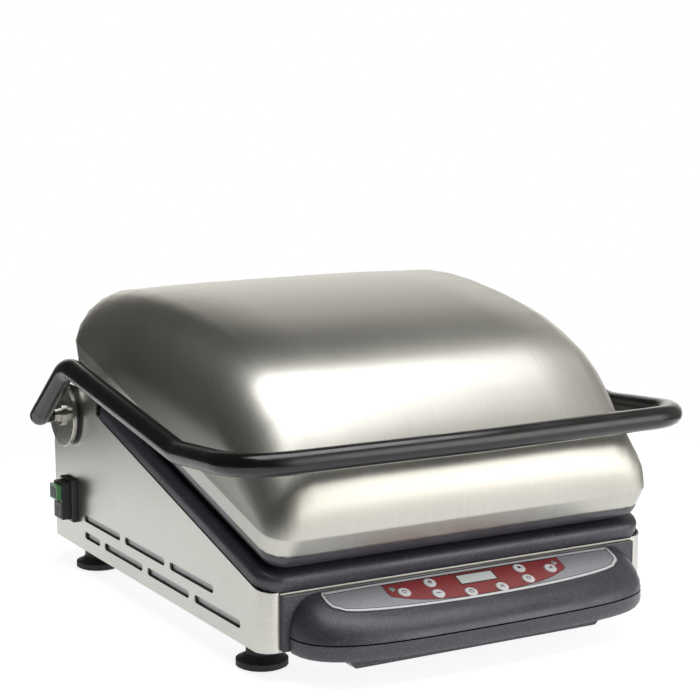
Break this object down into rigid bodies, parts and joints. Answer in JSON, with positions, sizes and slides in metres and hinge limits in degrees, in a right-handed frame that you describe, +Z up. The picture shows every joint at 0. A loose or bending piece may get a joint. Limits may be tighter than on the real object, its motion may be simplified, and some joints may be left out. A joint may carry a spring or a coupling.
{
  "type": "panini press",
  "caption": "Countertop contact grill with a sloped steel base, lift-up domed head on a loop handle, front keypad console and a pull-out grease drawer.",
  "frame": {"origin": "on the floor plane under the middle of the whole outline, handle and console included", "axes": "+Z up, front of the grill and its keypad toward -Y, left side with the power switch toward -X"},
  "size_m": [0.5156, 0.5775, 0.3193],
  "materials": {
    "brushed_stainless": "brushed satin grain",
    "plain_sheet_steel": "plain mill finish",
    "dark_textured_plastic": "fine sparkle texture, semi-matt",
    "satin_dark_enamel": "satin enamel",
    "black_handle_coating": "satin powder coat",
    "foot_rubber": "matt",
    "cast_plate": "seasoned cast surface",
    "element_sheath": "heat-tinted sheath",
    "keypad_film": "printed satin film, silver border and red field",
    "display_glass": "clear window over a pale display",
    "lamp_lens": "smoked lens",
    "key_cap": "silver satin",
    "circuit_board": "solder resist",
    "black_plastic": "moulded, semi-matt",
    "green_plastic": "moulded",
    "spring_steel": "drawn wire, turned pins"
  },
  "bodies": {
    "base": {"side_panel_left": "brushed_stainless", "side_panel_right": "brushed_stainless", "front_cross_rail": "brushed_stainless", "front_panel": "dark_textured_plastic", "bottom_plate": "plain_sheet_steel", "rear_panel": "plain_sheet_steel", "rear_deck": "plain_sheet_steel", "lower_frame": "dark_textured_plastic", "lower_grill_plate": "cast_plate", "lower_heating_element": "element_sheath", "lower_heat_shield": "plain_sheet_steel", "drain_chute": "element_sheath", "console_housing": "dark_textured_plastic", "keypad_overlay": "keypad_film", "lcd_window": "display_glass", "led_left": "lamp_lens", "led_right": "lamp_lens", "control_board": "circuit_board", "switch_housing": "black_plastic", "foot_front_left": "foot_rubber", "foot_front_right": "foot_rubber", "foot_rear_left": "foot_rubber", "foot_rear_right": "foot_rubber", "cable_gland": "black_plastic", "bearing_left": "black_plastic", "bearing_right": "black_plastic", "counter_spring_left": "spring_steel", "counter_spring_right": "spring_steel"},
    "lift_assembly": {"hinge_shaft": "brushed_stainless", "hinge_disc_left": "brushed_stainless", "hinge_disc_right": "brushed_stainless", "handle_tube": "black_handle_coating", "handle_clamp_left": "black_handle_coating", "handle_clamp_right": "black_handle_coating", "clamp_screw_left": "spring_steel", "clamp_screw_right": "spring_steel", "lift_arm_left": "plain_sheet_steel", "lift_arm_right": "plain_sheet_steel"},
    "floating_head": {"dome_cover": "brushed_stainless", "upper_rim": "satin_dark_enamel", "upper_grill_plate": "cast_plate", "upper_heating_element": "element_sheath", "head_base_plate": "plain_sheet_steel", "head_bracket_left": "plain_sheet_steel", "head_bracket_right": "plain_sheet_steel", "head_pin_left": "spring_steel", "head_pin_right": "spring_steel"},
    "grease_drawer": {"drawer_front": "dark_textured_plastic", "grease_pan": "plain_sheet_steel"},
    "key_1_body": {"key_1": "key_cap"},
    "key_2_body": {"key_2": "key_cap"},
    "key_3_body": {"key_3": "key_cap"},
    "key_4_body": {"key_4": "key_cap"},
    "key_5_body": {"key_5": "key_cap"},
    "key_6_body": {"key_6": "key_cap"},
    "key_7_body": {"key_7": "key_cap"},
    "key_8_body": {"key_8": "key_cap"},
    "switch_on": {"switch_on_button": "green_plastic"},
    "switch_off": {"switch_off_button": "black_plastic"}
  },
  "joints": [
    {"name": "lid_hinge", "type": "hinge", "parent": "base", "child": "lift_assembly", "pos_m": [0, 0.236, 0.17203], "axis": [-1, 0, 0], "range_deg": [0, 60], "stiffness_Nm_per_rad": 16, "springref_deg": 111.73},
    {"name": "head_float", "type": "hinge", "parent": "lift_assembly", "child": "floating_head", "pos_m": [0, 0.13714, 0.24386], "axis": [-1, 0, 0], "range_deg": [0, 4]},
    {"name": "grease_drawer_slide", "type": "slide", "parent": "base", "child": "grease_drawer", "axis": [0, -1, 0], "range_m": [0, 0.2]},
    {"name": "key_1_press", "type": "slide", "parent": "base", "child": "key_1_body", "axis": [0, 0.3714, -0.9285], "range_m": [0, 0.0006], "stiffness_N_per_m": 600, "springref_m": -0.0008},
    {"name": "key_2_press", "type": "slide", "parent": "base", "child": "key_2_body", "axis": [0, 0.3714, -0.9285], "range_m": [0, 0.0006], "stiffness_N_per_m": 600, "springref_m": -0.0008},
    {"name": "key_3_press", "type": "slide", "parent": "base", "child": "key_3_body", "axis": [0, 0.3714, -0.9285], "range_m": [0, 0.0006], "stiffness_N_per_m": 600, "springref_m": -0.0008},
    {"name": "key_4_press", "type": "slide", "parent": "base", "child": "key_4_body", "axis": [0, 0.3714, -0.9285], "range_m": [0, 0.0006], "stiffness_N_per_m": 600, "springref_m": -0.0008},
    {"name": "key_5_press", "type": "slide", "parent": "base", "child": "key_5_body", "axis": [0, 0.3714, -0.9285], "range_m": [0, 0.0006], "stiffness_N_per_m": 600, "springref_m": -0.0008},
    {"name": "key_6_press", "type": "slide", "parent": "base", "child": "key_6_body", "axis": [0, 0.3714, -0.9285], "range_m": [0, 0.0006], "stiffness_N_per_m": 600, "springref_m": -0.0008},
    {"name": "key_7_press", "type": "slide", "parent": "base", "child": "key_7_body", "axis": [0, 0.3714, -0.9285], "range_m": [0, 0.0006], "stiffness_N_per_m": 600, "springref_m": -0.0008},
    {"name": "key_8_press", "type": "slide", "parent": "base", "child": "key_8_body", "axis": [0, 0.3714, -0.9285], "range_m": [0, 0.0006], "stiffness_N_per_m": 600, "springref_m": -0.0008},
    {"name": "switch_on_press", "type": "slide", "parent": "base", "child": "switch_on", "axis": [1, 0, 0], "range_m": [0, 0.0012], "stiffness_N_per_m": 700, "springref_m": -0.0015},
    {"name": "switch_off_press", "type": "slide", "parent": "base", "child": "switch_off", "axis": [1, 0, 0], "range_m": [0, 0.0012], "stiffness_N_per_m": 700, "springref_m": -0.0015}
  ]
}
